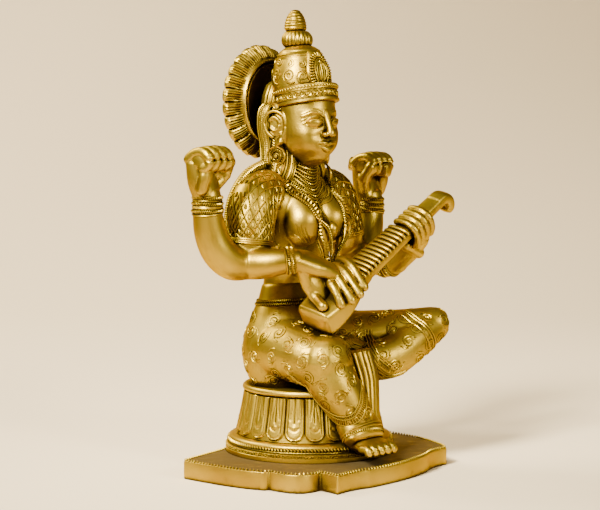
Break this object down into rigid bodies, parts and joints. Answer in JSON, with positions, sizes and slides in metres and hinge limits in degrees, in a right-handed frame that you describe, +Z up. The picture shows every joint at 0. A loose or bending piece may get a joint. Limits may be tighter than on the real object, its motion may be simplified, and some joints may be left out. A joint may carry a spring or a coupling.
{
  "type": "saraswati figure",
  "caption": "Cast brass figure of a seated four-armed goddess playing a veena, with a lotus-petal halo wheel, on a round lotus pedestal and a scalloped base plate.",
  "frame": {"origin": "on the floor under the middle of the round pedestal, on the underside of the base plate", "axes": "+Z up to the crown's tip, the figure faces -Y, +X is the figure's own left"},
  "size_m": [0.1645, 0.1105, 0.2502],
  "materials": {
    "plate_brass": "worn polish with brown patina in the nicks",
    "pedestal_brass": "cast and brushed, dark patina between the petals",
    "figure_brass": "polished on the high parts, dark patina in the carving"
  },
  "bodies": {
    "root": {"base_plate": "plate_brass", "lotus_pedestal": "pedestal_brass", "saraswati_figure": "figure_brass"}
  },
  "joints": []
}
